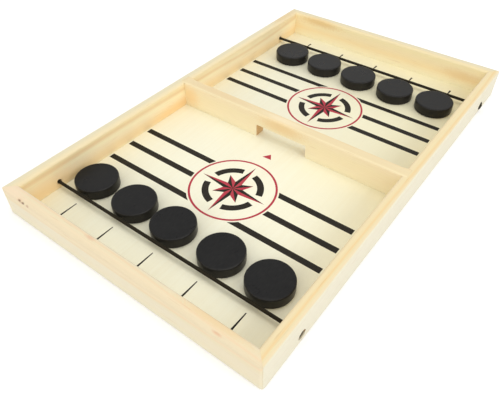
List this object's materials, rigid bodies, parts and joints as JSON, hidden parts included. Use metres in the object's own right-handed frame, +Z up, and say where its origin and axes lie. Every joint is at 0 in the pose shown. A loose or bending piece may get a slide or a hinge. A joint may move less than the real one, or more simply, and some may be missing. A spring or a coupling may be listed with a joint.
{
  "type": "sling puck board game",
  "caption": "Shallow wooden tray split by a wall with a low gate; an elastic cord across each half slings flat round pucks through the gate.",
  "frame": {"origin": "middle of the board on the plane of its underside", "axes": "+X across the board, to the right of a player at the near end; +Y along it, from the near end to the far end; +Z up"},
  "size_m": [0.215, 0.35, 0.023],
  "materials": {
    "rail_wood": "planed pale pine, edges rounded over, clear matt varnish",
    "panel_wood": "thin pale plywood, smooth, with the playing field printed on it",
    "divider_wood": "planed pale pine, clear matt varnish",
    "elastic_cord": "woven dark brown-black cover over a rubber core",
    "puck_lacquer": "turned wood, charcoal black satin lacquer",
    "nail_steel": "bare steel strip"
  },
  "bodies": {
    "frame": {"left_rail": "rail_wood", "right_rail": "rail_wood", "near_end_rail": "rail_wood", "far_end_rail": "rail_wood", "floor_panel": "panel_wood", "gate_divider": "divider_wood", "near_cord_left_end": "elastic_cord", "near_cord_right_end": "elastic_cord", "far_cord_left_end": "elastic_cord", "far_cord_right_end": "elastic_cord", "corner_nail_near_left": "nail_steel", "corner_nail_near_right": "nail_steel", "corner_nail_far_right": "nail_steel", "corner_nail_far_left": "nail_steel"},
    "near_sling": {"near_cord_span": "elastic_cord"},
    "far_sling": {"far_cord_span": "elastic_cord"},
    "near_puck_1_body": {"near_puck_1": "puck_lacquer"},
    "near_puck_2_body": {"near_puck_2": "puck_lacquer"},
    "near_puck_3_body": {"near_puck_3": "puck_lacquer"},
    "near_puck_4_body": {"near_puck_4": "puck_lacquer"},
    "near_puck_5_body": {"near_puck_5": "puck_lacquer"},
    "far_puck_1_body": {"far_puck_1": "puck_lacquer"},
    "far_puck_2_body": {"far_puck_2": "puck_lacquer"},
    "far_puck_3_body": {"far_puck_3": "puck_lacquer"},
    "far_puck_4_body": {"far_puck_4": "puck_lacquer"},
    "far_puck_5_body": {"far_puck_5": "puck_lacquer"}
  },
  "joints": [
    {"name": "near_sling_pull", "type": "slide", "parent": "frame", "child": "near_sling", "axis": [0, -1, 0], "range_m": [0, 0.026], "stiffness_N_per_m": 250, "deforming": ["near_cord_span"]},
    {"name": "far_sling_pull", "type": "slide", "parent": "frame", "child": "far_sling", "axis": [0, 1, 0], "range_m": [0, 0.026], "stiffness_N_per_m": 250, "deforming": ["far_cord_span"]},
    {"name": "near_puck_1_slide", "type": "slide", "parent": "frame", "child": "near_puck_1_body", "axis": [0, 1, 0], "range_m": [0, 0.1008]},
    {"name": "near_puck_2_slide", "type": "slide", "parent": "frame", "child": "near_puck_2_body", "axis": [0, 1, 0], "range_m": [0, 0.1008]},
    {"name": "near_puck_3_slide", "type": "slide", "parent": "frame", "child": "near_puck_3_body", "axis": [0, 1, 0], "range_m": [0, 0.206]},
    {"name": "near_puck_4_slide", "type": "slide", "parent": "frame", "child": "near_puck_4_body", "axis": [0, 1, 0], "range_m": [0, 0.1004]},
    {"name": "near_puck_5_slide", "type": "slide", "parent": "frame", "child": "near_puck_5_body", "axis": [0, 1, 0], "range_m": [0, 0.1]},
    {"name": "far_puck_1_slide", "type": "slide", "parent": "frame", "child": "far_puck_1_body", "axis": [0, -1, 0], "range_m": [0, 0.0978]},
    {"name": "far_puck_2_slide", "type": "slide", "parent": "frame", "child": "far_puck_2_body", "axis": [0, -1, 0], "range_m": [0, 0.0982]},
    {"name": "far_puck_3_slide", "type": "slide", "parent": "frame", "child": "far_puck_3_body", "axis": [0, -1, 0], "range_m": [0, 0.206]},
    {"name": "far_puck_4_slide", "type": "slide", "parent": "frame", "child": "far_puck_4_body", "axis": [0, -1, 0], "range_m": [0, 0.096]},
    {"name": "far_puck_5_slide", "type": "slide", "parent": "frame", "child": "far_puck_5_body", "axis": [0, -1, 0], "range_m": [0, 0.0973]}
  ]
}
